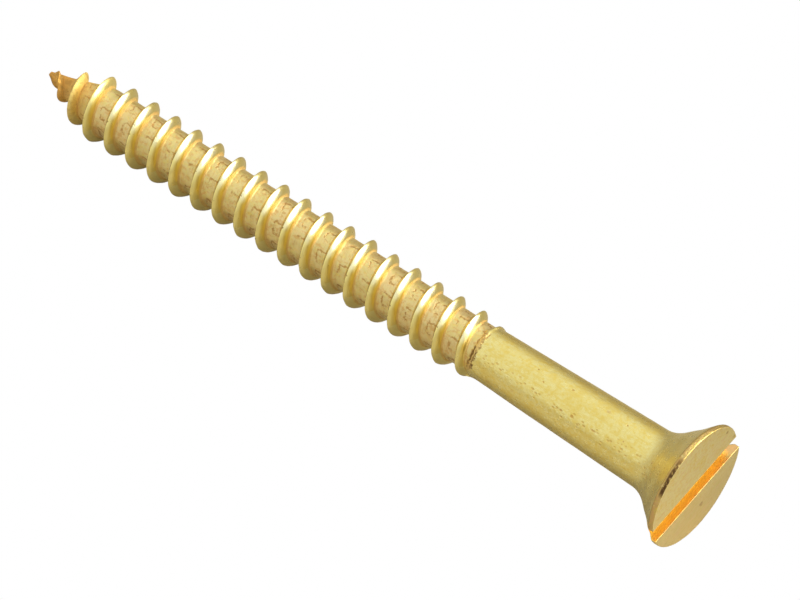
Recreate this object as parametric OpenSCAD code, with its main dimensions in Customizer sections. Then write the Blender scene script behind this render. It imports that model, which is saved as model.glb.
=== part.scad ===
// A slotted, countersunk brass wood screw, lying on its side.
// The screw's axis is the X axis. The head's flat face is the plane x = 0 and looks along +X,
// and the point is at x = -screw_length. "Down the screw" means from the face towards the point.
// An angle about the axis is measured from +Y towards +Z.
// The real screw is one piece of brass, so its three regions meet face to face.

/* [Screw] */
// Length from the flat face to the tip
screw_length = 49.8; // [45:0.1:55]

/* [Head] */
// Largest diameter of the head
head_d = 8.2; // [7.4:0.05:8.5]
// Included angle of the countersunk cone
cone_angle = 84; // [80:1:92]
// Width of the rim, from the flat face to the cone
rim = 0.28; // [0.2:0.01:0.5]
// Chamfer between the flat face and the rim
face_chamfer = 0.1; // [0.05:0.01:0.15]
// Radius of the fillet between the cone and the shank
fillet_r = 2.2; // [1:0.1:3]
// Width of the driver slot
slot_w = 1.3; // [0.8:0.05:1.5]
// Depth of the driver slot
slot_depth = 0.72; // [0.5:0.01:1.1]
// Angle of the slot about the axis, where 0 lies level
slot_turn = 8; // [-90:1:90]
// How far the slot lies below the middle of the head
slot_drop = 0.23; // [0:0.01:0.4]

/* [Shank] */
// Diameter of the straight stretch next to the head
shank_d = 3.9; // [3.6:0.02:4.1]
// Length of the straight stretch
straight = 2.0; // [1:0.1:4]
// Diameter at the end of the taper, where the thread starts
shank_end_d = 3.4; // [3.3:0.02:3.6]

/* [Thread] */
// Diameter over the crests
thread_d = 4.16; // [4:0.01:4.3]
// Diameter of the core next to the shank
core_d = 3.15; // [2.9:0.01:3.2]
// Diameter of the core where the point starts
core_end_d = 3.04; // [2.8:0.01:3.2]
// Distance between crests, 15 to the inch
pitch = 1.693; // [1.5:0.001:2]
// Distance down the screw to the first trace of thread
thread_start = 15.6; // [14:0.1:18]
// How much of the screw the ridge takes to rise out of the shank
runout = 1.5; // [1:0.1:3]
// Included angle of the ridge's flanks
flank_angle = 60; // [50:1:70]
// Width of the ridge's rounded crest
crest_w = 0.14; // [0.08:0.01:0.25]
// Angle about the axis at which the helix would cross the flat face's plane
thread_turn = 105; // [0:1:359]
// Flat facets in one turn
facets = 24; // [12:2:32]

/* [Point] */
// Length of the tapered point
point_length = 4.4; // [3:0.1:6]
// Diameter of the blunt tip
tip_d = 0.34; // [0.2:0.01:0.6]

/* [Hidden] */
brass = [0.82, 0.71, 0.39];
round_fn = 96;
fillet_steps = 10;
half_cone = cone_angle / 2;
shank_r = shank_d / 2;
head_r = head_d / 2;
// The fillet leaves the cone at half_cone and meets the shank at head_end
fillet_depth = fillet_r * (1 - cos(half_cone));
head_end = rim + (head_r - shank_r - fillet_depth) / tan(half_cone) + fillet_r * sin(half_cone);
// The plain shank stops just over half a pitch short of the first trace of thread
shank_end = thread_start - 0.55 * pitch;
point_start = screw_length - point_length;
// The shoulder is where the shank's diameter drops to the core's
shoulder_start = thread_start + 0.4;
shoulder_end = thread_start + 1.0;
ridge_h = (thread_d - core_d) / 2;
// The ridge's root starts this much wide of the straight flank, as a rolled root does
root_w = 0.04;
// The ridge fades out over the last of the point
tip_fade = 1.6;
// Rows of the thread's surface, one for each facet along the helix
rows = floor((screw_length - thread_start - 0.55 * pitch) / pitch * facets);

function lerp(a, b, t) = a + (b - a) * min(max(t, 0), 1);

// Radius between the ridges, at a distance s down the screw
function base_r(s) =
    s < shoulder_end
    ? lerp(shank_end_d, core_d, (s - shoulder_start) / (shoulder_end - shoulder_start)) / 2
    : s < point_start
    ? lerp(core_d, core_end_d, (s - shoulder_end) / (point_start - shoulder_end)) / 2
    : lerp(core_end_d, tip_d, (s - point_start) / point_length) / 2;

// Height of the ridge above that radius: it rises at the run-out and fades at the tip
function ridge(s) =
    let (rise = lerp(0, 1, (s - thread_start) / runout))
    let (fade = lerp(0, 1, (ridge_end - s) / tip_fade))
    let (top_r = min(thread_d / 2, base_r(s) + ridge_h))
    (top_r - base_r(s)) * rise * fade;

function crest_s(row) = thread_start + pitch * row / facets;
function crest_turn(row) = thread_turn - 360 * crest_s(row) / pitch;
ridge_end = crest_s(rows);

// A point on the surface: distance down the screw, angle about the axis, radius
function surface_point(s, turn, r) = [-s, r * cos(turn), r * sin(turn)];
function base_point(s, turn) = surface_point(s, turn, base_r(s));

// One row crosses the ridge: near root, two crest corners, far root, middle of the next valley
function row_points(row) =
    let (s = crest_s(row))
    let (turn = crest_turn(row))
    let (crest_r = base_r(s) + ridge(s))
    let (half_crest = crest_w / 2)
    let (half_root = half_crest + root_w + ridge(s) * tan(flank_angle / 2))
    [
        base_point(s - half_root, turn),
        surface_point(s - half_crest, turn, crest_r),
        surface_point(s + half_crest, turn, crest_r),
        base_point(s + half_root, turn),
        base_point(s + pitch / 2, turn)
    ];

// Indices of the points: all rows, then the ring at the shank, then the ring at the tip
function on_row(row, j) = 5 * row + j;
function on_shank_ring(i) = 5 * (rows + 1) + i;
function on_tip_ring(i) = 5 * (rows + 1) + facets + i;

function quad(a, b, c, d) = [[a, b, c], [a, c, d]];
function fan(hub, rim_points) =
    [for (i = [0 : len(rim_points) - 2]) [hub, rim_points[i], rim_points[i + 1]]];

// Threaded length and point as one closed surface, wound along the helix
module helical_body() {
    last = rows - facets + 1;
    points = [
        for (row = [0 : rows]) each row_points(row),
        for (i = [0 : facets - 1]) base_point(shank_end, crest_turn(i)),
        for (i = [0 : facets - 1]) base_point(screw_length, crest_turn(last + i))
    ];
    faces = [
        // Ridge: both flanks, the crest and the near half of the valley
        for (row = [0 : rows - 1]) for (j = [0 : 3])
            each quad(on_row(row, j), on_row(row, j + 1), on_row(row + 1, j + 1), on_row(row + 1, j)),
        // Far half of the valley, up to the next turn's root
        for (row = [0 : rows - facets - 1])
            each quad(on_row(row, 4), on_row(row + facets, 0), on_row(row + facets + 1, 0), on_row(row + 1, 4)),
        // Shank end: the first turn down to a flat ring, then the ring's disc
        for (i = [0 : facets - 2])
            each quad(on_shank_ring(i), on_row(i, 0), on_row(i + 1, 0), on_shank_ring(i + 1)),
        each fan(on_row(facets - 1, 0), [
            on_row(facets, 0),
            for (j = [4 : -1 : 0]) on_row(0, j),
            on_shank_ring(0),
            on_shank_ring(facets - 1)
        ]),
        [for (i = [0 : facets - 1]) on_shank_ring(i)],
        // Tip: the last turn up to a flat ring, then the ring's disc
        for (i = [0 : facets - 2])
            each quad(on_row(last + i, 4), on_tip_ring(i), on_tip_ring(i + 1), on_row(last + i + 1, 4)),
        each fan(on_row(last, 4), [
            on_row(last - 1, 4),
            for (j = [0 : 4]) on_row(rows, j),
            on_tip_ring(facets - 1),
            on_tip_ring(0)
        ]),
        [for (i = [facets - 1 : -1 : 0]) on_tip_ring(i)]
    ];
    polyhedron(points, faces);
}

// Turns an outline of [radius, -distance down the screw] points about the X axis
module turned(outline) {
    rotate([0, 90, 0]) rotate_extrude($fn = round_fn) polygon(outline);
}

// Head: flat slotted face, rim, countersunk cone and the fillet into the shank
module slotted_head() {
    fillet = [
        for (i = [fillet_steps : -1 : 0])
            let (t = half_cone * i / fillet_steps)
            [shank_r + fillet_r * (1 - cos(t)), -head_end + fillet_r * sin(t)]
    ];
    outline = [
        [0, 0],
        [head_r - face_chamfer, 0],
        [head_r, -face_chamfer],
        [head_r, -rim],
        each fillet,
        [0, -head_end]
    ];
    color(brass) difference() {
        turned(outline);
        rotate([slot_turn, 0, 0])
            translate([-slot_depth, -head_d, -slot_drop - slot_w / 2])
            cube([2 * slot_depth, 2 * head_d, slot_w]);
    }
}

// Plain shank: a straight stretch for the clearance hole, then a slight taper
module shank() {
    color(brass) turned([
        [0, -head_end],
        [shank_r, -head_end],
        [shank_r, -head_end - straight],
        [shank_end_d / 2, -shank_end],
        [0, -shank_end]
    ]);
}

// Threaded length with its run-out, core and gimlet point
module thread() {
    color(brass) helical_body();
}

slotted_head();
shank();
thread();
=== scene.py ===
"""A slotted, countersunk brass wood screw, lying on its side on a pale floor.

The screw's axis is X: the head's flat face is at x = 0 and the point at the far -X end.
Shapes are worked out in millimetres, as a distance s down the screw from the face, an angle
turned about the axis from +Y towards +Z, and a radius. They become metres in one place, make_piece.
"""
import math

import bmesh
import bpy
import numpy as np
from mathutils import Matrix, Vector, noise


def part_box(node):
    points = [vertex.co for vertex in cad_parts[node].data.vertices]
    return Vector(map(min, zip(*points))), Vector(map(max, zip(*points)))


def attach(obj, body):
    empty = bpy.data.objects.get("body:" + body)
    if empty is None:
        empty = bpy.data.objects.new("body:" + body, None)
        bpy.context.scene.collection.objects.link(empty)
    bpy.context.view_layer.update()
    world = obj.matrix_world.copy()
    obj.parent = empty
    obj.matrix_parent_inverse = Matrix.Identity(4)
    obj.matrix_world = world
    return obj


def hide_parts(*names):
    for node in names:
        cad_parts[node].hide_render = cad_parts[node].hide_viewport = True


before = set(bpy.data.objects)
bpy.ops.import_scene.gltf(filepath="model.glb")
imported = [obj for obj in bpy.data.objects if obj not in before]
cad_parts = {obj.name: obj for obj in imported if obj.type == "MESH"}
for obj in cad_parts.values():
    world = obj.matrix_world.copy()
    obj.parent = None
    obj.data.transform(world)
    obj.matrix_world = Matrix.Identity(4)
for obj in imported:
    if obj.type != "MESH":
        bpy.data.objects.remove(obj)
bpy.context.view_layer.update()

MM = 0.001
# Faces that meet at more than this are shaded with an edge between them
SHARP_ANGLE = math.radians(50)
scene = bpy.context.scene

# ------ dimensions, mm and degrees

SCREW_LENGTH = -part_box("thread")[0].x / MM
HEAD_END = -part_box("slotted_head")[0].x / MM
SHANK_END = -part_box("thread")[1].x / MM

# Angles about the axis. Bends are towards DOWN_TURN, and the face is highest at FAR_TURN
DOWN_TURN = 211.0
FAR_TURN = 301.0
# The face leans a little, so its middle lies below its highest edge
FACE_LEAN = 0.05
# How far the axis strays from straight at the head, at the tip and along the thread
HEAD_BEND = 0.035
HEAD_BEND_END = 12.0
TIP_BEND = -0.11
TIP_BEND_START = 47.6
BOW = 0.02

# Head. Widths called ROUND or CORNER are radii of rounded edges
HEAD_R = 4.085
RIM = 0.38
RIM_CORNER = 0.04
# The rim stands out a little below the slot's +Y end, and is worn away above it
PROUD_TURN = -8.0
PROUD = 0.12
WORN = 0.09
# How fast the cone's radius falls with distance, and how much its fillet fills in
CONE_SLOPE = 0.899
FILLET = 0.66
FACE_ROUND = 0.055
SLOT_ROUND = 0.022
CORNER = 0.045
# The slot's angle, and the distances of its upper and lower walls from the head's middle
SLOT_TURN = 8.26
SLOT_EDGES = (0.433, 0.890)
SLOT_DEPTH = 0.77
SLOT_END_ROUND = 0.03
SLOT_END_BULGE = 0.11

# Shank. Slopes and tapers are changes of radius for each mm down the screw
SHANK_R = 1.969
SHANK_SLOPE = -0.0228

# Thread. At CREST_TURN the helix would cross the face's plane, and RUNOUT is how slowly it rises
PITCH = 1.6933
CREST_TURN = 109.0
THREAD_START = 16.0
RUNOUT = 0.45
# Crests and core, whose tapers are measured from TAPER_FROM
TAPER_FROM = 17.0
CREST_R = 2.103
CREST_TAPER = -0.0006
CORE_R = 1.572
CORE_TAPER = -0.0034
# The ridge falls straight on its tip side, and along a parabola on its head side, to small fillets
CREST_ROUND = 0.05
TIP_FLANK = 1.9
TIP_ROOT = 0.06
HEAD_FLANK = 0.27
HEAD_SWELL = 2.5
HEAD_ROOT = 0.04
# The core's sides: how many, how far their corners stand out, and one corner's angle
FACETS = 7
FACET_R = 0.014
FACET_TURN = 22.0
# Where the shank ends, and the metal pushed up there, all round and on one side
SHOULDER = 16.0
SHOULDER_HALF = 0.12
LIP = 0.03
BURR = 0.09
# The point is a cone, with the ridge on it and some metal smeared to one side
POINT_START = 45.5
POINT_SLOPE = -0.32
POINT_RIDGE = 0.66
TIP_R = 0.12
SMEAR = 0.16
# How far the last crests run early, and where that sets in. EARLIER is for the side at DOWN_TURN
EARLY = 0.10
EARLY_SPAN = (45.0, 46.5)
EARLIER = 0.11
EARLIER_SPAN = (46.0, 48.5)


# ------ small mathematics

def smooth(low, high, value):
    """0 below low, 1 above high, and an even rise between."""
    t = np.clip((value - low) / (high - low), 0.0, 1.0)
    return t * t * (3.0 - 2.0 * t)


def soft_max(a, b, width):
    """The larger of two values, with the corner filled in where they differ by less than width."""
    near = np.maximum(width - np.abs(a - b), 0.0) / width
    return np.maximum(a, b) + near * near * width / 4


def soft_min(a, b, width):
    return -soft_max(-a, -b, width)


def bumps(points, size, seed):
    """Perlin noise from -1 to 1, with features about `size` mm across. size may differ by axis."""
    scaled = np.asarray(points) / np.asarray(size) + seed * 7.31
    return np.array([noise.noise(Vector(p)) for p in scaled])


def hump(value, centre, width):
    """1 at the centre, and close to 0 from twice width away."""
    return np.exp(-(((value - centre) / width) ** 2))


def toward(turn, direction):
    """1 where an angle about the axis is in that direction, and -1 opposite."""
    return np.cos(np.radians(turn - direction))


def around(s, turn, radius):
    """Points on the slightly bent screw, from distance down it, angle about it and radius."""
    a = np.radians(turn)
    bend = HEAD_BEND * (1 - smooth(0.0, HEAD_BEND_END, s))
    bend = bend + TIP_BEND * smooth(TIP_BEND_START, SCREW_LENGTH, s) ** 1.5
    bend = bend + BOW * smooth(24.0, 42.0, s) - BOW * hump(s, 15.0, 2.0)
    lean = FACE_LEAN * toward(turn, FAR_TURN) * radius / HEAD_R * (1 - smooth(0.15, 1.2, s))
    down = math.radians(DOWN_TURN)
    y = radius * np.cos(a) + bend * math.cos(down)
    z = radius * np.sin(a) + bend * math.sin(down)
    return np.stack([lean - s, y, z], axis=-1)


def located(points):
    """Distances down the screw, angles about it and radii of points."""
    x, y, z = points.T
    return -x, np.degrees(np.arctan2(z, y)), np.hypot(y, z)


# ------ the screw's radius

def shank_radius(s):
    waist = 0.014 * hump(s, 15.2, 1.6)
    return SHANK_R + SHANK_SLOPE * (s - HEAD_END) - waist


def head_radius(s):
    """Rim, slightly hollow cone and the fillet into the shank."""
    cone = HEAD_R - CONE_SLOPE * (s - RIM) - 0.05 * hump(s, 1.2, 0.4)
    return soft_max(soft_min(cone, np.full_like(s, HEAD_R), RIM_CORNER), shank_radius(s), FILLET)


def crest_line(turn, s):
    """Distance down the screw of a crest of the helix. It runs a little early at the tip."""
    early = EARLY * smooth(*EARLY_SPAN, s)
    early = early + EARLIER * (1 + toward(turn, DOWN_TURN)) * smooth(*EARLIER_SPAN, s)
    return (CREST_TURN - turn) / 360.0 * PITCH - early


def crest_offset(s, turn):
    """Signed distance along the axis from the nearest crest of the helix."""
    return (s - crest_line(turn, s) + PITCH / 2) % PITCH - PITCH / 2


def point_cone(s):
    return TIP_R - POINT_SLOPE * (SCREW_LENGTH - s)


def core_radius(s, turn):
    """Between the ridges: the shank, the rough shoulder, the seven-sided core and the point."""
    wander = 0.05 * np.sin(np.radians(3 * turn) + 1.0) + 0.03 * np.sin(np.radians(8 * turn))
    step = smooth(SHOULDER - SHOULDER_HALF, SHOULDER + SHOULDER_HALF, s + wander)
    facet = FACET_R * np.cos(np.radians(FACETS * (turn + FACET_TURN) + 5.0 * (s - TAPER_FROM)))
    core = CORE_R + CORE_TAPER * (s - TAPER_FROM) + facet * smooth(SHOULDER, TAPER_FROM, s)
    lip = LIP + BURR * smooth(0.78, 1.0, toward(turn, FAR_TURN + 90.0))
    lip = lip * hump(s + wander - SHOULDER, -0.17, 0.11)
    base = shank_radius(s) * (1 - step) + core * step + lip
    smear = SMEAR * np.maximum(toward(turn, DOWN_TURN), 0.0) * hump(s, 49.15, 0.4)
    return soft_min(base, point_cone(s), 0.12) + smear


def crest_radius(s):
    """Top of the ridge, by where its crest is: it rises at the run-out and sinks at the tip."""
    rise = 1.0 - np.exp(-np.maximum(s - THREAD_START, 0.0) / RUNOUT)
    start = shank_radius(s)
    body = start + (CREST_R + CREST_TAPER * (s - TAPER_FROM) - start) * rise
    height = POINT_RIDGE - 0.24 * smooth(47.2, 48.2, s) - 0.25 * smooth(48.5, 49.5, s)
    height = height - 0.25 * hump(s, 48.98, 0.18) - 0.28 * hump(s, 48.62, 0.16)
    return soft_min(body, point_cone(s) + height, 0.14)


def thread_radius(s, turn):
    """The ridge on the core. Its tip side is straight, and its head side swells before it drops."""
    offset = crest_offset(s, turn)
    tip_side = np.sqrt((offset * TIP_FLANK) ** 2 + CREST_ROUND ** 2) - CREST_ROUND
    head_side = HEAD_FLANK * np.abs(offset) + HEAD_SWELL * offset ** 2
    ridge = crest_radius(s - offset) - np.where(offset > 0, tip_side, head_side)
    core = core_radius(s, turn)
    there = smooth(THREAD_START - 0.3, THREAD_START + 0.1, s - offset)
    merged = soft_max(core, ridge, np.where(offset > 0, TIP_ROOT, HEAD_ROOT))
    return core + (merged - core) * there


# ------ meshes

class Shell:
    """Points and faces of one closed surface, in millimetres."""

    def __init__(self):
        self.points = []
        self.faces = []

    def add(self, points):
        """Adds an array of points and returns their indices, in the array's own layout."""
        flat = np.asarray(points, float).reshape(-1, 3)
        first = sum(len(p) for p in self.points)
        self.points.append(flat)
        return np.arange(first, first + len(flat)).reshape(np.shape(points)[:-1])

    def grid(self, index):
        """Quads between neighbouring rows and columns of indices."""
        for a, b in zip(index[:-1], index[1:]):
            for i in range(len(a) - 1):
                self.faces.append((a[i], a[i + 1], b[i + 1], b[i]))

    def rings(self, index):
        """Quads between neighbouring rows of indices that close on themselves."""
        index = np.asarray(index)
        self.grid(np.concatenate([index, index[:, :1]], axis=1))

    def cap(self, ring):
        """One flat face that closes a ring of indices."""
        self.faces.append(tuple(ring))

    def zip_up(self, a, b):
        """Triangles between two lines of indices that don't have the same number of points."""
        i = j = 0
        while i < len(a) - 1 or j < len(b) - 1:
            behind = (i + 1) * (len(b) - 1) <= (j + 1) * (len(a) - 1)
            if j == len(b) - 1 or (i < len(a) - 1 and behind):
                self.faces.append((a[i], b[j], a[i + 1]))
                i += 1
            else:
                self.faces.append((a[i], b[j], b[j + 1]))
                j += 1

    def all_points(self):
        return np.concatenate(self.points)


def make_piece(name, shell, points, materials, choose):
    """A Blender object in metres. choose gives each face's material from its centre and normal."""
    mesh = bpy.data.meshes.new(name)
    faces = [tuple(int(i) for i in dict.fromkeys(face)) for face in shell.faces]
    mesh.from_pydata(points.tolist(), [], faces)
    work = bmesh.new()
    work.from_mesh(mesh)
    bmesh.ops.recalc_face_normals(work, faces=work.faces)
    for face in work.faces:
        face.smooth = True
        face.material_index = choose(face.calc_center_median(), face.normal)
    work.to_mesh(mesh)
    work.free()
    mesh.transform(Matrix.Scale(MM, 4))
    mesh.set_sharp_from_angle(angle=SHARP_ANGLE)
    for material in materials:
        mesh.materials.append(material)
    piece = bpy.data.objects.new(name, mesh)
    scene.collection.objects.link(piece)
    return piece


def pushed(points, push, radius):
    """Points moved away from the axis by push."""
    grown = 1 + push / radius
    return points * np.stack([np.ones_like(grown), grown, grown], axis=-1)


# ------ head

# Mesh steps round each part of a block's outline, over its edge, down its side and down the cone
ARC_STEPS = 112
CHORD_STEPS = 72
CORNER_STEPS = 4
END_STEPS = 12
ROUND_ROWS = 4
BLOCK_ROWS = 9
CONE_ROWS = 44
# Where its stretch along the slot lies, in the order of an outline's points
CHORD_START = ARC_STEPS + CORNER_STEPS
CHORD = slice(CHORD_START, CHORD_START + CHORD_STEPS + 1)


def block_outline(radius, edge):
    """Outline of half the head on one side of the slot, with its outward directions.

    d runs along the slot and m across it. The outline goes round the arc, a corner, along the
    slot's edge and round the other corner. Returns two (n, 2) arrays of (d, m).
    """
    reach = radius - CORNER
    lean = math.asin((edge + CORNER) / reach)
    centre = reach * math.cos(lean)
    arc = np.linspace(lean, math.pi - lean, ARC_STEPS + 1)
    left = np.linspace(math.pi - lean, 1.5 * math.pi, CORNER_STEPS + 1)[1:]
    right = np.linspace(-0.5 * math.pi, lean, CORNER_STEPS + 1)[:-1]
    chord = np.linspace(-centre, centre, CHORD_STEPS + 1)[1:-1]

    def heading(angles):
        return np.stack([np.cos(angles), np.sin(angles)], axis=-1)

    sunk = edge + CORNER
    points = np.concatenate([
        heading(arc) * radius,
        heading(left) * CORNER + (-centre, sunk),
        np.stack([chord, np.full_like(chord, edge)], axis=-1),
        heading(right) * CORNER + (centre, sunk),
    ])
    to_slot = np.tile((0.0, -1.0), (len(chord), 1))
    return points, np.concatenate([heading(arc), heading(left), to_slot, heading(right)])


def on_head(s, outline, side):
    """An outline at a distance down the screw. side is 1 for the block above the slot, -1 below."""
    a = math.radians(SLOT_TURN)
    d, m = outline[:, 0], outline[:, 1] * side
    y, z = d * math.cos(a) - m * math.sin(a), d * math.sin(a) + m * math.cos(a)
    return around(s, np.degrees(np.arctan2(z, y)), np.hypot(y, z))


def block_rows(edge, side):
    """Rows of points down one block, from its flat top to the slot's floor."""
    rows = []
    outline, outward = block_outline(HEAD_R, edge)
    on_chord = smooth(-0.2, -0.9, outward[:, 1])
    rounding = FACE_ROUND + (SLOT_ROUND - FACE_ROUND) * on_chord
    for k in range(ROUND_ROWS):
        a = 0.5 * math.pi * k / ROUND_ROWS
        inset = rounding * (1 - math.sin(a))
        s = FACE_LEAN + rounding * (1 - math.cos(a))
        rows.append(on_head(s, outline - outward * inset[:, None], side))
    for s in np.linspace(FACE_LEAN + FACE_ROUND, SLOT_DEPTH, BLOCK_ROWS + 1):
        outline, outward = block_outline(float(head_radius(np.float64(s))), edge)
        rows.append(on_head(np.full(len(outline), s), outline, side))
    return np.array(rows)


def fill_top(shell, loop, points):
    """Fills a block's flat top, from its closed outline, with a four-sided grid."""
    side_steps = (ARC_STEPS - CHORD_STEPS) // 2
    up = CORNER_STEPS + side_steps
    count = len(loop)
    left = [CHORD_START - i for i in range(up + 1)]
    right = [(CHORD_START + CHORD_STEPS + i) % count for i in range(up + 1)]
    top = [left[-1] - i for i in range(CHORD_STEPS + 1)]
    u = np.linspace(0, 1, CHORD_STEPS + 1)[None, :, None]
    v = np.linspace(0, 1, up + 1)[:, None, None]
    edge = points[loop]
    b, t = edge[CHORD][None], edge[top][None]
    l, r = edge[left][:, None], edge[right][:, None]
    corners = (
        (1 - u) * (1 - v) * b[:, :1] + u * (1 - v) * b[:, -1:]
        + (1 - u) * v * t[:, :1] + u * v * t[:, -1:]
    )
    filled = (1 - v) * b + v * t + (1 - u) * l + u * r - corners
    index = np.zeros(filled.shape[:2], int)
    index[0], index[-1] = loop[CHORD], loop[top]
    index[:, 0], index[:, -1] = loop[left], loop[right]
    index[1:-1, 1:-1] = shell.add(filled[1:-1, 1:-1])
    shell.grid(index)


def worn_head(points):
    """Moves the head's points: the uneven rim, small dents and a face that isn't quite flat."""
    s, turns, radius = located(points)
    past = (turns - PROUD_TURN + 180.0) % 360.0 - 180.0
    proud = smooth(-45.0, -2.0, past) * (1 - smooth(2.0, 14.0, past))
    worn = smooth(12.0, 22.0, past) * (1 - smooth(22.0, 42.0, past))
    near_rim = smooth(3.2, 4.0, radius) * (1 - smooth(0.6, 1.4, s))
    outside = smooth(-0.08, -0.02, radius - head_radius(s))
    thicker = 0.09 * outside * hump(s, 0.55, 0.18)
    dents = 0.012 * bumps(points, 0.45, 3) + 0.008 * bumps(points, 0.2, 4)
    push = proud * (PROUD * near_rim + thicker) - worn * WORN * near_rim
    push = push + dents * smooth(3.7, 4.0, radius) * (1 - smooth(0.5, 1.0, s))
    before_shank = 1 - smooth(HEAD_END - 0.6, HEAD_END - 0.1, s)
    push = push + 0.007 * bumps(points, (0.9, 0.5, 0.5), 5) * outside * before_shank
    moved = pushed(points, push, radius)
    moved[:, 0] -= 0.004 * (1 + bumps(points, 0.8, 6)) * (1 - smooth(0.05, 0.2, s))
    return moved


def worn_barrel(points):
    """Moves the shank's points by shallow waves and dents, which die away at both ends."""
    s, _, radius = located(points)
    push = 0.006 * bumps(points, (1.6, 0.9, 0.9), 7) + 0.0035 * bumps(points, (0.5, 0.28, 0.28), 8)
    push = push * smooth(HEAD_END, HEAD_END + 0.5, s) * (1 - smooth(SHANK_END - 0.5, SHANK_END, s))
    return pushed(points, push, radius)


def worn_thread(points):
    """Moves the thread's points: nicks in the crest, and a core that isn't quite smooth."""
    s, _, radius = located(points)
    radius = np.maximum(radius, 0.01)
    crest = smooth(1.85, 2.05, radius)
    push = 0.022 * bumps(points, 0.7, 9) * crest + 0.012 * bumps(points, 0.3, 10) * crest
    push = push + (0.008 * bumps(points, 0.5, 11) + 0.006 * bumps(points, 0.22, 12)) * (1 - crest)
    push = push * smooth(SHANK_END, SHANK_END + 0.4, s) * smooth(0.1, 0.5, radius)
    return pushed(points, push, radius)


def add_slot_floor(shell, upper, lower):
    """The slot's floor, between the feet of its two walls. Its ends bulge out to the cone."""
    points = shell.all_points()
    t = np.linspace(0, 1, END_STEPS + 1)[1:-1, None, None]
    crown = 0.35 * (1 - (2 * t - 1) ** 2)
    along = (points[upper] + points[lower]) / 2
    floor = points[upper][None] * (1 - t) + points[lower][None] * t
    ends = smooth(0.93, 1.0, np.abs(np.linspace(-1, 1, CHORD_STEPS + 1)))[None, :, None]
    bulge = along / np.linalg.norm(along, axis=-1, keepdims=True) * SLOT_END_BULGE
    floor = floor + crown * ends * bulge[None] * (0.0, 1.0, 1.0)
    index = np.concatenate([upper[None], shell.add(floor), lower[None]])
    shell.grid(index)
    return index


def add_slot_end(shell, blocks, inner, column, way):
    """One end of the slot, rounded from its floor down onto the cone. Returns its outer row.

    inner is the end of the floor. way is the direction, along the outlines, away from the wall.
    """
    first = CHORD_START + column
    corner = [(first + way * i) % len(blocks[0]) for i in range(CORNER_STEPS + 1)]
    upper, lower = blocks[0][corner], blocks[1][corner]
    points = shell.all_points()
    turns = [math.atan2(points[end[-1]][2], points[end[-1]][1]) for end in (upper, lower)]
    turns[1] += 2 * math.pi * round((turns[0] - turns[1]) / (2 * math.pi))
    part = np.linspace(0, 1, END_STEPS + 1)
    drop = SLOT_END_ROUND * np.sin(math.pi * part) ** 0.5
    outer_turn = turns[0] + (turns[1] - turns[0]) * part
    rows = [inner]
    for k in range(1, CORNER_STEPS + 1):
        q = 0.5 * math.pi * k / CORNER_STEPS
        s = SLOT_DEPTH + drop * (1 - math.cos(q))
        outer = around(s, np.degrees(outer_turn), head_radius(s))
        row = points[inner] + (outer - points[inner]) * np.array([0.0, 1.0, 1.0]) * math.sin(q)
        row[:, 0] = outer[:, 0]
        rows.append(np.concatenate([[upper[k]], shell.add(row[1:-1]), [lower[k]]]))
    shell.grid(rows)
    return rows[-1]


def add_cone(shell, ring):
    """The cone and the fillet, from a ring of points down to the shank, and the flat end there."""
    start, turns, _ = located(shell.all_points()[ring])
    rows = [ring]
    for k in range(1, CONE_ROWS + 1):
        t = k / CONE_ROWS
        s = start * (1 - t) + HEAD_END * t
        rows.append(shell.add(around(s, turns, head_radius(s))))
    index = np.array(rows)
    shell.rings(index)
    shell.cap(index[-1])


def build_head():
    """Two blocks, one on each side of the slot, then the slot's floor and ends, then the cone."""
    shell = Shell()
    blocks = []
    for edge, side in zip(SLOT_EDGES, (1, -1)):
        index = shell.add(block_rows(edge, side))
        shell.rings(index)
        fill_top(shell, index[0], shell.all_points())
        blocks.append(index[-1])
    floor = add_slot_floor(shell, blocks[0][CHORD], blocks[1][CHORD])
    right = add_slot_end(shell, blocks, floor[:, CHORD_STEPS], CHORD_STEPS, 1)
    left = add_slot_end(shell, blocks, floor[:, 0], 0, -1)
    arc = list(range(ARC_STEPS + 1))
    ring = [blocks[0][arc], left[1:-1], blocks[1][arc[::-1]], right[::-1][1:-1]]
    add_cone(shell, np.concatenate(ring))
    return shell


# ------ shank

SHANK_COLUMNS = 224
SHANK_ROWS = 200


def build_shank():
    shell = Shell()
    turns = np.linspace(0, 360, SHANK_COLUMNS, endpoint=False)
    s = np.linspace(HEAD_END, SHANK_END, SHANK_ROWS + 1)
    ss, tt = np.meshgrid(s, turns, indexing="ij")
    index = shell.add(around(ss, tt, shank_radius(ss)))
    shell.rings(index)
    shell.cap(index[0])
    shell.cap(index[-1])
    return shell


# ------ thread

# Mesh steps in one turn of the helix, and from its first and last turns to the thread's two ends
COLUMNS = 128
WEDGE = 26
# Distances from a crest within which the mesh is finest, and beyond which it is coarser
CREST_ZONE = 0.08
ROOT_ZONE = 0.46
# How far the crest line, the tip's last full ring and its smaller ring stop short of the ends
FIRST_GAP = 0.05
LAST_GAP = 0.12
RING_GAP = 0.06
CAP_GAP = 0.015


def profile_steps():
    """Distances from one crest to the next, close together at the crests and the roots."""
    half = np.concatenate([
        np.linspace(0.0, CREST_ZONE, 6)[:-1],
        np.linspace(CREST_ZONE, ROOT_ZONE, 9)[:-1],
        np.linspace(ROOT_ZONE, PITCH / 2, 6),
    ])
    return np.concatenate([half, PITCH - half[-2:0:-1]])


def round_tip(shell, ring):
    """Closes the tip's last ring with a smaller one and a flat end."""
    smaller = shell.all_points()[ring] * (1.0, 0.55, 0.55)
    smaller[:, 0] = -(SCREW_LENGTH - CAP_GAP)
    inner_ring = shell.add(smaller)
    shell.rings([ring, inner_ring])
    shell.cap(inner_ring)


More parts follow.
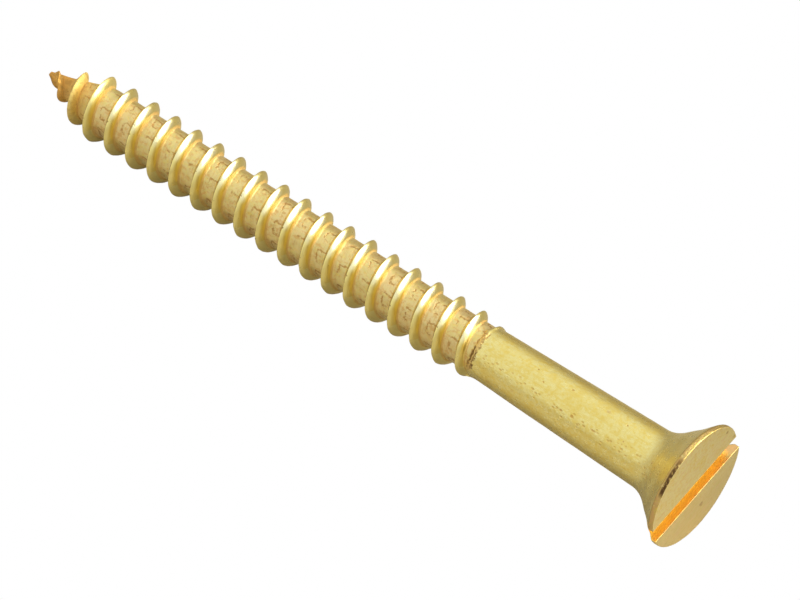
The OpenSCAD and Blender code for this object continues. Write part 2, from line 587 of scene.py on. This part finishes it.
def build_thread():
    """The helix's crests are lines of the mesh. Each row runs from one crest to the next."""
    shell = Shell()
    steps = profile_steps()
    first_s = SHANK_END + FIRST_GAP
    last_s = SCREW_LENGTH - LAST_GAP
    row_count = int((last_s - first_s) / PITCH * COLUMNS)
    helix_s = first_s + PITCH * np.arange(row_count + 1) / COLUMNS
    turns = CREST_TURN - 360.0 * helix_s / PITCH
    crest_s = crest_line(turns, helix_s)

    def surface(s, turn):
        return around(s, turn, thread_radius(s, turn))

    crest = shell.add(surface(crest_s, turns))
    full = row_count - COLUMNS + 1
    gap = (crest_s[COLUMNS:] - crest_s[:full]) / PITCH
    ss = crest_s[:full, None] + steps[None, 1:] * gap[:, None]
    inner = shell.add(surface(ss, turns[:full, None]))
    strips = np.concatenate([crest[:full, None], inner, crest[COLUMNS:, None]], axis=1)
    shell.grid(strips)

    def wedge(rows, far_s):
        """Adds the stretch from the crest line to a flat ring."""
        t = (np.arange(1, WEDGE + 1) / WEDGE)[None, :]
        near = crest_s[rows][:, None]
        s = near + (far_s - near) * t ** 1.8
        columns = shell.add(surface(s, turns[rows][:, None]))
        index = np.concatenate([crest[rows][:, None], columns], axis=1)
        shell.grid(index)
        return index

    head_wedge = wedge(np.arange(COLUMNS), SHANK_END)
    seam = np.concatenate([head_wedge[0][::-1], strips[0][1:]])
    shell.zip_up(head_wedge[-1][::-1], seam)
    shell.cap(head_wedge[:, -1])
    tip_wedge = wedge(np.arange(full, row_count + 1), SCREW_LENGTH - RING_GAP)
    seam = np.concatenate([strips[full - 1], tip_wedge[-1][1:]])
    shell.zip_up(tip_wedge[0], seam)
    round_tip(shell, tip_wedge[:, -1])
    return shell


# ------ materials

# Colours shared by several looks, from pale to dark
PALE = (0.97, 0.84, 0.38)
# Painted highlight colour for the thread's flanks
PAINTED_GLARE = (0.98, 0.89, 0.54)
BRASS = (0.93, 0.76, 0.27)
GOLD = (0.86, 0.62, 0.13)
PINK = (0.90, 0.66, 0.34)
TAN = (0.68, 0.42, 0.16)
BROWN = (0.45, 0.26, 0.08)
DARK = (0.10, 0.05, 0.02)


class Look:
    """A brass surface being put together from shader nodes. Its lengths are in millimetres.

    s and turn say where on the screw a point is, as everywhere in this file. tint, roughen and
    raise_by change the colour, the roughness and the height of the surface where a mask is 1.
    """

    def __init__(self, name, colour, roughness):
        self.material = bpy.data.materials.new(name)
        self.material.use_nodes = True
        self.nodes = self.material.node_tree.nodes
        self.links = self.material.node_tree.links
        place = self.node("ShaderNodeTexCoord").outputs["Object"]
        self.place = self.measured(place, (MM, MM, MM))
        x, self.y, self.z = self.node("ShaderNodeSeparateXYZ", self.place).outputs
        self.s = self.math("MULTIPLY", x, -1.0)
        self.turn = self.math("MULTIPLY", self.math("ARCTAN2", self.z, self.y), 180.0 / math.pi)
        self.colour = (*colour, 1.0)
        self.roughness = roughness
        self.height = 0.0

    def feed(self, socket, value):
        """Links an input to another node's output, or sets it to a plain value."""
        if isinstance(value, bpy.types.NodeSocket):
            self.links.new(value, socket)
        else:
            socket.default_value = value

    def node(self, kind, *values):
        """A node of a kind, with its first inputs fed."""
        node = self.nodes.new(kind)
        for socket, value in zip(node.inputs, values):
            self.feed(socket, value)
        return node

    def math(self, operation, *values):
        node = self.node("ShaderNodeMath", *values)
        node.operation = operation
        return node.outputs[0]

    def times(self, first, *rest):
        for value in rest:
            first = self.math("MULTIPLY", first, value)
        return first

    def centred(self, value):
        """Noise about 0, from noise about 0.5."""
        return self.math("SUBTRACT", value, 0.5)

    def vector(self, x, y, z=0.0):
        return self.node("ShaderNodeCombineXYZ", x, y, z).outputs[0]

    def measured(self, vector, size):
        """A vector, counted in a unit of its own along each axis."""
        node = self.node("ShaderNodeVectorMath", vector, tuple(1 / part for part in size))
        node.operation = "MULTIPLY"
        return node.outputs[0]

    def step(self, value, low, high):
        """0 below low, 1 above high. With high below low, the other way round."""
        node = self.node("ShaderNodeMapRange", value, low, high)
        node.interpolation_type = "SMOOTHSTEP"
        return node.outputs[0]

    def stripe(self, value, centre, half, soft):
        """1 within half of the centre, falling to 0 over the next soft."""
        away = self.math("ABSOLUTE", self.math("SUBTRACT", value, centre))
        return self.step(away, half + soft, half)

    def facing(self, centre, half, soft):
        """1 on one side of the screw. centre, half and soft are angles in degrees."""
        return self.stripe(self.turn, centre, half, soft)

    def slotwise(self):
        """Place by distance down the screw, along the slot and across it."""
        a = math.radians(SLOT_TURN)
        along = self.math("MULTIPLY_ADD", self.y, math.cos(a), self.times(self.z, math.sin(a)))
        across = self.math("MULTIPLY_ADD", self.z, math.cos(a), self.times(self.y, -math.sin(a)))
        return self.vector(self.s, along, across)

    def noise(self, size, seed, detail=3.0, rough=0.55, place=None):
        """Noise about 0.5. size is that of its features along the three axes of place."""
        scaled = self.measured(place or self.place, size)
        # The inputs are the place, its fourth coordinate, the scale, the detail and the roughness
        node = self.node("ShaderNodeTexNoise", scaled, seed * 3.7, 1.0, detail, rough)
        node.noise_dimensions = "4D"
        return node.outputs["Fac"]

    def specks(self, size, seed, share):
        """Small spots, on about that share of the cells of a random pattern."""
        scaled = self.measured(self.place, size)
        node = self.node("ShaderNodeTexVoronoi", scaled, seed * 2.3, 1.0)
        node.voronoi_dimensions = "4D"
        own = self.node("ShaderNodeSeparateXYZ", node.outputs["Color"]).outputs[0]
        chosen = self.step(own, share, share - 0.05)
        return self.times(self.step(node.outputs["Distance"], 0.42, 0.2), chosen)

    def tint(self, mask, colour, amount=1.0):
        mix = self.nodes.new("ShaderNodeMix")
        mix.data_type = "RGBA"
        for i, value in ((0, self.times(mask, amount)), (6, self.colour), (7, (*colour, 1.0))):
            self.feed(mix.inputs[i], value)
        self.colour = mix.outputs[2]

    def roughen(self, mask, amount):
        self.roughness = self.math("MULTIPLY_ADD", mask, amount, self.roughness)

    def raise_by(self, mask, amount):
        self.height = self.math("MULTIPLY_ADD", mask, amount, self.height)

    def finish(self):
        """Joins everything to the shader, and returns the material."""
        shader = self.nodes["Principled BSDF"]
        bump = self.nodes.new("ShaderNodeBump")
        bump.inputs["Strength"].default_value = 1.0
        bump.inputs["Distance"].default_value = MM
        self.links.new(self.height, bump.inputs["Height"])
        self.links.new(bump.outputs[0], shader.inputs["Normal"])
        self.links.new(self.colour, shader.inputs["Base Color"])
        self.links.new(self.math("MAXIMUM", self.roughness, 0.08), shader.inputs["Roughness"])
        shader.inputs["Metallic"].default_value = 1.0
        return self.material


def add_grain(look, strength, where=1.0):
    """Mottled colour, uneven polish and fine dents, as far as a mask allows."""
    broad = look.noise((1.1, 0.7, 0.7), 1, 4.0, 0.6)
    fine = look.noise((0.22, 0.16, 0.16), 2, 3.0, 0.6)
    dents = look.centred(look.noise((0.42, 0.24, 0.24), 3, 2.0, 0.5))
    pinholes = look.centred(look.noise((0.16, 0.12, 0.12), 4, 1.0, 0.5))
    look.tint(look.times(look.step(broad, 0.45, 0.60), where), GOLD, 0.45 * strength)
    look.tint(look.times(look.step(fine, 0.49, 0.63), where), GOLD, 0.65 * strength)
    look.tint(look.times(look.step(fine, 0.48, 0.34), where), PALE, 0.5 * strength)
    look.roughen(look.times(look.centred(fine), where), 0.25 * strength)
    look.raise_by(look.times(dents, where), 0.016 * strength)
    look.raise_by(look.times(pinholes, where), 0.005 * strength)


# ------ shank and cone

# The clearest pits: distance down the screw, angle about it, length and width
PITS = (
    (8.35, 134.5, 0.15, 0.11),
    (9.15, 136.0, 0.12, 0.09),
    (6.70, 135.5, 0.26, 0.08),
    (9.25, 91.0, 0.14, 0.08),
    (11.05, 109.0, 0.09, 0.08),
    (11.80, 92.5, 0.10, 0.06),
    (4.70, 123.0, 0.08, 0.06),
    (5.10, 94.0, 0.09, 0.06),
)


def add_pit(look, s, turn, length, width):
    """One brown pit on the shank."""
    along = look.math("DIVIDE", look.math("SUBTRACT", look.s, s), length)
    sideways = look.times(look.math("SUBTRACT", look.turn, turn), math.radians(1.0) * SHANK_R)
    sideways = look.math("DIVIDE", sideways, width)
    square = look.math("MULTIPLY_ADD", along, along, look.times(sideways, sideways))
    uneven = look.centred(look.noise((0.12, 0.12, 0.12), 20, 1.0))
    mask = look.step(look.math("ADD", look.math("SQRT", square), uneven), 1.1, 0.4)
    look.tint(mask, (0.62, 0.34, 0.08), 0.8)
    look.raise_by(mask, -0.010)


def add_turning_lines(look):
    """Fine rings on the cone, left by the lathe's tool. The cone is paler than the shank."""
    place = look.vector(look.s, look.times(look.turn, 0.05))
    rings = look.noise((0.07, 2.0, 1.0), 22, 2.0, 0.6, place)
    on_cone = look.step(look.s, HEAD_END + 0.3, HEAD_END - 0.9)
    look.tint(on_cone, PALE, 0.4)
    look.tint(look.times(look.step(rings, 0.50, 0.66), on_cone), GOLD, 0.35)
    look.raise_by(look.times(look.centred(rings), on_cone), 0.004)


def brass_barrel():
    """The plain shank and the head's cone: scratches along it, and dents low on one side."""
    look = Look("brass_barrel", BRASS, 0.30)
    add_grain(look, 1.0)
    scratches = look.noise((1.8, 0.10, 0.10), 5, 2.0)
    look.tint(look.step(scratches, 0.54, 0.68), GOLD, 0.5)
    look.raise_by(look.centred(scratches), 0.003)
    add_turning_lines(look)
    dents = look.times(look.specks((0.34, 0.20, 0.20), 6, 0.9), look.facing(138.0, 8.0, 14.0))
    look.raise_by(dents, -0.022)
    look.tint(dents, (0.78, 0.50, 0.13), 0.7)
    look.tint(look.specks((0.6, 0.4, 0.4), 7, 0.10), TAN, 0.5)
    for pit in PITS:
        add_pit(look, *pit)
    return look.finish()


# ------ face, rim and slot

def add_face_pit(look, y, z, size):
    """One brown pit on the head's face."""
    away = look.vector(look.math("SUBTRACT", look.y, y), look.math("SUBTRACT", look.z, z))
    far = look.node("ShaderNodeVectorMath", away)
    far.operation = "LENGTH"
    uneven = look.times(look.centred(look.noise((0.2, 0.2, 0.2), 21, 2.0)), size * 1.5)
    pit = look.step(look.math("ADD", far.outputs["Value"], uneven), size, size * 0.4)
    look.tint(pit, BROWN, 0.7)
    look.raise_by(pit, -0.008)


def brass_face():
    """The head's flat face: satin, brushed along the slot, with painted shade making it darker and
    redder below, and a few small marks.
    """
    look = Look("brass_face", (0.93, 0.79, 0.36), 0.40)
    add_grain(look, 0.8)
    look.tint(look.specks((0.5, 0.55, 0.55), 8, 0.10), BROWN, 0.35)
    look.raise_by(look.specks((0.3, 0.42, 0.42), 9, 0.3), -0.006)
    # Painted shade: darker and redder towards the bottom, in place of the dimmer reflection on the
    # face's lower half
    look.tint(look.step(look.z, 0.5, -2.5), (0.78, 0.62, 0.26), 0.8)
    add_face_pit(look, 2.91, 2.28, 0.15)
    add_face_pit(look, 0.53, -2.21, 0.22)
    streaks = look.noise((0.5, 1.3, 0.10), 10, 3.0, 0.6, look.slotwise())
    look.tint(look.step(streaks, 0.47, 0.62), (0.90, 0.64, 0.36), 0.5)
    look.raise_by(look.centred(streaks), 0.002)
    return look.finish()


def brass_rim():
    """The head's edge: rough, with dark flecks along one stretch and a brown one beside it."""
    look = Look("brass_rim", (0.62, 0.44, 0.14), 0.38)
    add_grain(look, 1.0)
    crumbs = look.noise((0.16, 0.20, 0.20), 11, 3.0, 0.7)
    look.raise_by(look.centred(crumbs), 0.055)
    look.tint(look.step(crumbs, 0.42, 0.60), (0.68, 0.47, 0.14), 0.8)
    below_edge = look.step(look.s, 0.10, 0.22)
    look.tint(look.times(below_edge, look.step(crumbs, 0.40, 0.56)), TAN, 0.7)
    stretch = look.times(look.facing(126.0, 15.0, 6.0), look.step(look.s, 0.40, 0.30))
    look.tint(look.times(stretch, look.step(crumbs, 0.30, 0.42)), BROWN, 0.9)
    lower = look.step(look.turn, 100.0, 124.0)
    look.tint(look.times(stretch, lower, look.step(crumbs, 0.38, 0.49)), DARK, 0.95)
    lowest = look.step(look.turn, 138.0, 158.0)
    look.tint(look.times(lowest, look.step(crumbs, 0.38, 0.56)), TAN, 0.75)
    return look.finish()


def brass_slot():
    """The slot's walls and floor: freshly cut and streaked by the cutter along the slot. Their deep
    orange is partly the metal's and partly a painted reflection of light bounced round inside the
    slot.
    """
    # Painted reflection in part: the base colour is more orange, standing in for light bounced
    # between the slot's walls
    look = Look("brass_slot", (0.94, 0.67, 0.18), 0.33)
    place = look.slotwise()
    along = look.node("ShaderNodeSeparateXYZ", place).outputs[1]
    streaks = look.noise((0.16, 5.0, 0.13), 12, 1.0, 0.5, place)
    look.tint(look.step(streaks, 0.5, 0.66), (0.90, 0.54, 0.10), 0.7)
    look.tint(look.step(streaks, 0.45, 0.3), (0.99, 0.78, 0.32), 0.6)
    # Painted light: duller towards one end, the slot's open end, where outside light falls in.
    # Brown here and there along its edges
    look.tint(look.step(along, 3.0, 3.6), (0.84, 0.49, 0.19), 0.95)
    broken = look.step(look.noise((0.4, 0.4, 0.4), 24, 3.0), 0.44, 0.54)
    look.tint(look.times(look.step(look.s, 0.15, 0.08), broken), (0.60, 0.32, 0.12), 0.7)
    look.raise_by(look.centred(streaks), 0.0015)
    look.roughen(look.centred(streaks), 0.2)
    return look.finish()


# ------ thread's look

class ThreadLook(Look):
    """The thread's look, with the masks and noises that its parts share."""

    def __init__(self):
        super().__init__("brass_thread", BRASS, 0.28)
        self.wobble = self.centred(self.noise((0.45, 0.45, 0.45), 13, 4.0, 0.7))
        self.waver = self.centred(self.noise((0.45, 0.45, 0.45), 15, 4.0, 0.7))
        self.dashes = self.noise((0.5, 0.28, 0.28), 14, 3.0, 0.65)
        # Turns of the helix, and where a point lies between one crest and the next, in mm
        self.wound = self.turns_wound()
        self.past_crest = self.times(self.math("FRACT", self.wound), PITCH)
        self.threaded = self.step(self.s, SHOULDER - 0.1, SHOULDER + 0.1)
        valley = self.step(self.past_crest, 0.24, 0.34)
        valley = self.times(valley, self.step(self.past_crest, 1.36, 1.22))
        self.core = self.times(valley, self.threaded)
        # The core's seven sides: where a point lies across its side, and the side's own shade
        sides = self.times(self.s, 0.5 * FACETS / 360.0)
        sides = self.math("MULTIPLY_ADD", self.turn, FACETS / 360.0, sides)
        sides = self.math("ADD", sides, self.math("MULTIPLY_ADD", self.wobble, 0.45, 0.2567))
        self.part = self.math("FRACT", sides)
        which = self.vector(self.math("FLOOR", sides), self.math("FLOOR", self.wound))
        self.own = self.node("ShaderNodeTexWhiteNoise", which).outputs["Value"]

    def turns_wound(self):
        """Turns of the helix up to a point: whole numbers at the crests. It matches crest_line."""
        early = self.times(self.step(self.s, *EARLY_SPAN), EARLY)
        down = self.times(self.math("SUBTRACT", self.turn, DOWN_TURN), math.pi / 180.0)
        down = self.math("ADD", self.math("COSINE", down), 1.0)
        earlier = self.times(down, self.step(self.s, *EARLIER_SPAN), EARLIER)
        evened = self.math("ADD", self.s, self.math("ADD", early, earlier))
        wound = self.math("DIVIDE", evened, PITCH)
        angle = self.math("DIVIDE", self.math("SUBTRACT", self.turn, CREST_TURN), 360.0)
        return self.math("ADD", wound, angle)

    def near_crest(self, past, half, soft):
        """1 along a line at a distance past the crest, in mm towards the tip."""
        return self.stripe(self.past_crest, past, half, soft)


def colour_core(look):
    """The core: redder and duller than the ridge, blotchy, with fine lines round it."""
    core = look.core
    look.tint(core, (0.75, 0.61, 0.24), 0.75)
    mottled = look.noise((0.24, 0.16, 0.16), 17, 3.0, 0.6)
    look.tint(look.times(core, look.step(mottled, 0.5, 0.64)), GOLD, 0.5)
    look.tint(look.times(core, look.step(look.dashes, 0.4, 0.62)), PINK, 0.35)
    look.tint(look.times(core, look.step(look.own, 0.55, 0.9)), PINK, 0.35)
    look.roughen(core, 0.15)
    valley = look.math("FLOOR", look.wound)
    place = look.vector(look.past_crest, look.times(look.turn, 0.03), valley)
    lines = look.noise((0.09, 0.9, 0.4), 23, 3.0, 0.6, place)
    look.tint(look.times(core, look.step(lines, 0.52, 0.66)), (0.72, 0.44, 0.14), 0.45)
    look.raise_by(look.times(core, look.centred(lines)), 0.010)


def paint_flank_light(look):
    """Painted light on the ridge's head side: a golden painted reflection low on the camera's side,
    and a pale painted highlight further up.
    """
    # Painted reflection: golden low on the flank, where the steep surface mirrors the darker floor
    low = look.times(look.near_crest(1.41, 0.06, 0.08), look.facing(148.0, 30.0, 25.0))
    look.tint(look.times(low, look.threaded), GOLD, 0.6)
    # Painted highlight: paler on the upper flank, where the key light's reflection lies
    high = look.times(look.near_crest(1.54, 0.12, 0.06), look.facing(96.0, 22.0, 16.0))
    high = look.times(high, look.threaded, look.step(look.s, 46.0, 44.4))
    look.tint(high, PAINTED_GLARE, 0.8)


def add_laps(look):
    """Brown folds in the core, along its corners and across its sides, and stains."""
    core, part, own, dashes = look.core, look.part, look.own, look.dashes
    look.raise_by(look.times(core, look.wobble), 0.045)
    corner = look.math("ABSOLUTE", look.math("SUBTRACT", part, look.math("ROUND", part)))
    wavy = look.math("MULTIPLY_ADD", look.waver, 0.7, look.past_crest)
    broken = look.step(dashes, 0.38, 0.50)
    lap = look.times(look.step(corner, 0.065, 0.02), core, look.step(wavy, 0.96, 0.86), broken)
    hook = look.times(look.stripe(wavy, 0.88, 0.02, 0.055), look.step(part, 0.52, 0.44), core)
    hook = look.times(hook, look.step(own, 0.2, 0.4), broken)
    side = look.times(look.step(look.math("ABSOLUTE", look.centred(part)), 0.06, 0.02), core)
    side = look.times(side, look.stripe(wavy, 0.68, 0.15, 0.06), look.step(own, 0.5, 0.7))
    side = look.times(side, look.step(dashes, 0.42, 0.54))
    laps = look.math("MAXIMUM", look.math("MAXIMUM", lap, hook), side)
    stain = look.times(core, look.step(look.noise((0.3, 0.22, 0.22), 16, 4.0, 0.7), 0.50, 0.62))
    look.tint(stain, (0.72, 0.43, 0.14), 0.75)
    look.raise_by(stain, -0.004)
    look.tint(laps, (0.50, 0.25, 0.06), 0.85)
    look.raise_by(laps, -0.010)


def mark_ridge(look):
    """A dark broken line of painted shade along the crest's edge, nicks there that are partly
    painted shade, and brown lines of painted shade along the ridge's two roots.
    """
    # Painted shade: a dark broken line where the crest's hidden tip side meets the core
    behind = look.times(look.near_crest(0.06, 0.05, 0.04), look.step(look.dashes, 0.4, 0.5))
    look.tint(look.times(behind, look.facing(143.0, 24.0, 10.0), look.threaded), DARK, 0.8)
    # Nicks along the crest, darkened partly as painted shade along its edge
    from_crest = look.math("PINGPONG", look.past_crest, PITCH / 2)
    nicks = look.specks((0.24, 0.17, 0.17), 19, 0.6)
    nicks = look.times(nicks, look.stripe(from_crest, 0.0, 0.04, 0.05))
    nicks = look.times(nicks, look.facing(128.0, 45.0, 15.0), look.threaded)
    look.tint(nicks, (0.30, 0.17, 0.05), 0.8)
    look.raise_by(nicks, -0.012)
    # Painted shade: a brown line in the crease at the ridge's tip-side root
    root = look.times(look.near_crest(0.3, 0.02, 0.05), look.facing(92.0, 28.0, 12.0))
    look.tint(look.times(root, look.threaded), BROWN, 0.45)
    # Painted shade: a brown, rougher line at the head-side root, darkening the highlight in that
    # crease
    painted_foot_shade = look.times(look.near_crest(1.29, 0.02, 0.05), look.threaded)
    look.tint(painted_foot_shade, (0.66, 0.40, 0.12), 0.6)
    look.roughen(painted_foot_shade, 0.3)


def mark_shoulder(look):
    """The rough double edge where the shank ends, with crumbs between its two lines."""
    edge = look.math("MULTIPLY_ADD", look.wobble, 0.85, look.s)
    near_side = look.facing(131.0, 44.0, 10.0)
    first = look.stripe(edge, 15.70, 0.045, 0.06)
    second = look.stripe(edge, 15.96, 0.045, 0.07)
    crumbs = look.times(look.stripe(edge, 15.85, 0.12, 0.08), look.step(look.waver, 0.02, 0.10))
    marks = look.math("MAXIMUM", look.math("MAXIMUM", first, second), crumbs)
    marks = look.times(marks, look.step(look.dashes, 0.36, 0.48), near_side)
    between = look.times(look.stripe(edge, 15.85, 0.12, 0.15), near_side)
    look.tint(between, (0.72, 0.47, 0.17), 0.7)
    look.roughen(between, 0.3)
    look.tint(marks, BROWN, 0.8)
    worst = look.times(marks, look.facing(147.0, 22.0, 8.0), look.step(look.wobble, -0.06, 0.04))
    look.tint(worst, DARK, 0.65)
    look.raise_by(marks, -0.012)


def colour_point(look):
    """The point: browner and duller than the rest, more so towards the tip."""
    look.tint(look.step(look.s, 45.4, 47.0), (0.80, 0.56, 0.17), 0.6)
    look.tint(look.step(look.s, 47.3, 48.4), (0.70, 0.39, 0.085), 0.85)
    blotches = look.times(look.step(look.s, 46.0, 47.6), look.step(look.dashes, 0.48, 0.60))
    look.tint(blotches, (0.56, 0.33, 0.09), 0.6)
    rusty = look.noise((0.25, 0.2, 0.2), 18, 3.0, 0.65)
    look.tint(look.times(look.step(look.s, 45.6, 47.0), look.step(rusty, 0.56, 0.66)), BROWN, 0.45)
    look.roughen(look.step(look.s, 44.6, 48.0), 0.4)


def brass_thread():
    """The rolled thread: bright flanks with painted highlight and reflection, a blotchy seven-sided
    core and brown laps.
    """
    look = ThreadLook()
    add_grain(look, 0.14)
    # The last of the shank, before the shoulder, has the shank's full grain
    add_grain(look, 0.86, look.step(look.s, SHOULDER, SHOULDER - 0.3))
    colour_core(look)
    paint_flank_light(look)
    add_laps(look)
    mark_ridge(look)
    mark_shoulder(look)
    colour_point(look)
    return look.finish()


# ------ camera

# The camera that fits the photo: how far the screw's axis tilts out of the picture and how far it
# is turned in it, a long lens in mm, and distances in metres
TILT = math.radians(22.61)
ROLL = math.radians(32.528)
LENS = 405
RIGHT_SHIFT = 0.017386
UP_SHIFT = 0.010976
DISTANCE = 0.52832


def make_camera():
    """The picture's axes, back and right, are such that the screw shows at TILT and ROLL."""
    lift = math.atan(math.cos(TILT) * math.sin(ROLL) / math.sin(TILT))
    side = math.atan2(math.sin(TILT), math.sqrt(1 - math.sin(lift) ** 2 - math.sin(TILT) ** 2))
    level = math.cos(lift)
    back = Vector((math.sin(side) * level, -math.cos(side) * level, math.sin(lift)))
    right = Vector((0, 0, 1)).cross(back).normalized()
    up = back.cross(right)
    data = bpy.data.cameras.new("camera")
    data.lens = LENS
    data.sensor_width = 36
    data.clip_start = 0.05
    data.clip_end = 5
    camera = bpy.data.objects.new("camera", data)
    camera.location = back * DISTANCE + up * UP_SHIFT - right * RIGHT_SHIFT
    camera.location.x -= FACE_LEAN * MM
    camera.rotation_euler = back.to_track_quat("Z", "Y").to_euler()
    scene.collection.objects.link(camera)
    scene.camera = camera


# ------ floor and lights

# Lengths in metres. Each pair of colours is from near to far, or from low to high
FLOOR_HALF = 1.5
FLOOR_SPAN = (-0.008, 0.020)
FLOOR_COLOURS = ((0.44, 0.405, 0.335, 1), (0.225, 0.198, 0.145, 1))
SKY_SPAN = (-0.1, 0.65)
SKY_COLOURS = ((0.44, 0.395, 0.30, 1), (0.85, 0.895, 0.92, 1))


def blend(tree, value, span, colours):
    """A colour that goes from one to the other as a value goes through a span."""
    rise = tree.nodes.new("ShaderNodeMapRange")
    rise.interpolation_type = "SMOOTHSTEP"
    rise.inputs["From Min"].default_value = span[0]
    rise.inputs["From Max"].default_value = span[1]
    tree.links.new(value, rise.inputs["Value"])
    mix = tree.nodes.new("ShaderNodeMix")
    mix.data_type = "RGBA"
    mix.inputs[6].default_value = colours[0]
    mix.inputs[7].default_value = colours[1]
    tree.links.new(rise.outputs[0], mix.inputs[0])
    return mix.outputs[2]


def split_coordinate(tree, kind):
    """The x, y and z of a texture coordinate."""
    split = tree.nodes.new("ShaderNodeSeparateXYZ")
    tree.links.new(tree.nodes.new("ShaderNodeTexCoord").outputs[kind], split.inputs[0])
    return split.outputs


def show_camera(tree, seen, lit, output):
    """Joins two shaders to an output: seen for the camera, and lit for light and reflections."""
    ray = tree.nodes.new("ShaderNodeLightPath")
    mix = tree.nodes.new("ShaderNodeMixShader")
    tree.links.new(ray.outputs["Is Camera Ray"], mix.inputs[0])
    tree.links.new(lit, mix.inputs[1])
    tree.links.new(seen, mix.inputs[2])
    tree.links.new(mix.outputs[0], output)


def pale_floor():
    """White to the camera. In reflections it is grey, and darker on the far side of the screw."""
    material = bpy.data.materials.new("pale_floor")
    material.use_nodes = True
    tree = material.node_tree
    shader = tree.nodes["Principled BSDF"]
    across = split_coordinate(tree, "Object")[1]
    grey = blend(tree, across, FLOOR_SPAN, FLOOR_COLOURS)
    tree.links.new(grey, shader.inputs["Base Color"])
    shader.inputs["Roughness"].default_value = 1.0
    white = tree.nodes.new("ShaderNodeEmission")
    output = tree.nodes["Material Output"].inputs[0]
    show_camera(tree, white.outputs[0], shader.outputs[0], output)
    return material


def make_floor():
    """The screw lies on its rim and on its thread, so the floor leans against both."""
    slope = (HEAD_R - CREST_R) / (POINT_START - RIM)
    corners = []
    for x, y in ((-1, -1), (1, -1), (1, 1), (-1, 1)):
        corners.append((x * FLOOR_HALF, y * FLOOR_HALF, -HEAD_R * MM - x * FLOOR_HALF * slope))
    mesh = bpy.data.meshes.new("floor")
    mesh.from_pydata(corners, [], [(0, 1, 2, 3)])
    mesh.materials.append(pale_floor())
    floor = bpy.data.objects.new("floor", mesh)
    scene.collection.objects.link(floor)


def make_world():
    """White to the camera. In reflections it is brighter and bluer above than below."""
    world = bpy.data.worlds.new("studio")
    scene.world = world
    world.use_nodes = True
    tree = world.node_tree
    seen = tree.nodes["Background"]
    seen.inputs["Color"].default_value = (1, 1, 1, 1)
    lit = tree.nodes.new("ShaderNodeBackground")
    split = split_coordinate(tree, "Generated")
    height = tree.nodes.new("ShaderNodeMath")
    height.operation = "MULTIPLY_ADD"
    height.inputs[1].default_value = -0.1
    tree.links.new(split[1], height.inputs[0])
    tree.links.new(split[2], height.inputs[2])
    sky = blend(tree, height.outputs[0], SKY_SPAN, SKY_COLOURS)
    tree.links.new(sky, lit.inputs["Color"])
    output = tree.nodes["World Output"].inputs[0]
    show_camera(tree, seen.outputs[0], lit.outputs[0], output)


def make_light(name, direction, distance, width, height, radiance):
    """A soft box that faces the screw's middle. radiance is how bright its surface looks."""
    data = bpy.data.lights.new(name, "AREA")
    data.shape = "RECTANGLE"
    data.size = width
    data.size_y = height
    data.energy = radiance * math.pi * width * height
    light = bpy.data.objects.new(name, data)
    towards = Vector(direction).normalized()
    middle = Vector((-SCREW_LENGTH * MM / 2, 0, 0))
    light.location = middle + towards * distance
    light.rotation_euler = towards.to_track_quat("Z", "Y").to_euler()
    light.visible_camera = False
    scene.collection.objects.link(light)


# ------ the scene

def head_look(centre, normal):
    """0 for the cone, 1 for the face, 2 for the rim and 3 for the slot."""
    s, y, z = -centre[0], centre[1], centre[2]
    a = math.radians(SLOT_TURN)
    across = z * math.cos(a) - y * math.sin(a)
    # The walls lie right on the slot's edges, so it is taken wide, but without the flat face
    wide = 0.04
    in_slot = -SLOT_EDGES[1] - wide < across < SLOT_EDGES[0] + wide
    if in_slot and s < SLOT_DEPTH + 0.02 and (normal[0] < 0.85 or s > 0.4):
        return 3
    if normal[0] > 0.8 and s < 0.3:
        return 1
    if s < RIM + 0.12 and math.hypot(y, z) > HEAD_R - 0.25:
        return 2
    return 0


def thread_look(centre, _):
    """0 for the last of the plain shank, and 1 for the rest. The two look alike where they meet."""
    return int(-centre[0] > SHANK_END + 0.5)


scene.view_settings.view_transform = "Standard"
make_camera()
make_floor()
make_world()
make_light("key", (0.66, 0.60, 0.36), distance=0.7, width=0.62, height=0.48, radiance=4.4)
make_light("top", (0.38, 0.50, 0.78), distance=0.7, width=0.54, height=0.50, radiance=3.2)

barrel = brass_barrel()
thread_looks = [barrel, brass_thread()]
head_looks = [barrel, brass_face(), brass_rim(), brass_slot()]
for name, node, shell, wear, looks, choose in (
    ("head", "slotted_head", build_head(), worn_head, head_looks, head_look),
    ("shank_body", "shank", build_shank(), worn_barrel, [barrel], lambda *_: 0),
    ("thread_body", "thread", build_thread(), worn_thread, thread_looks, thread_look),
):
    piece = make_piece(name, shell, wear(shell.all_points()), looks, choose)
    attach(piece, "root")
    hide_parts(node)
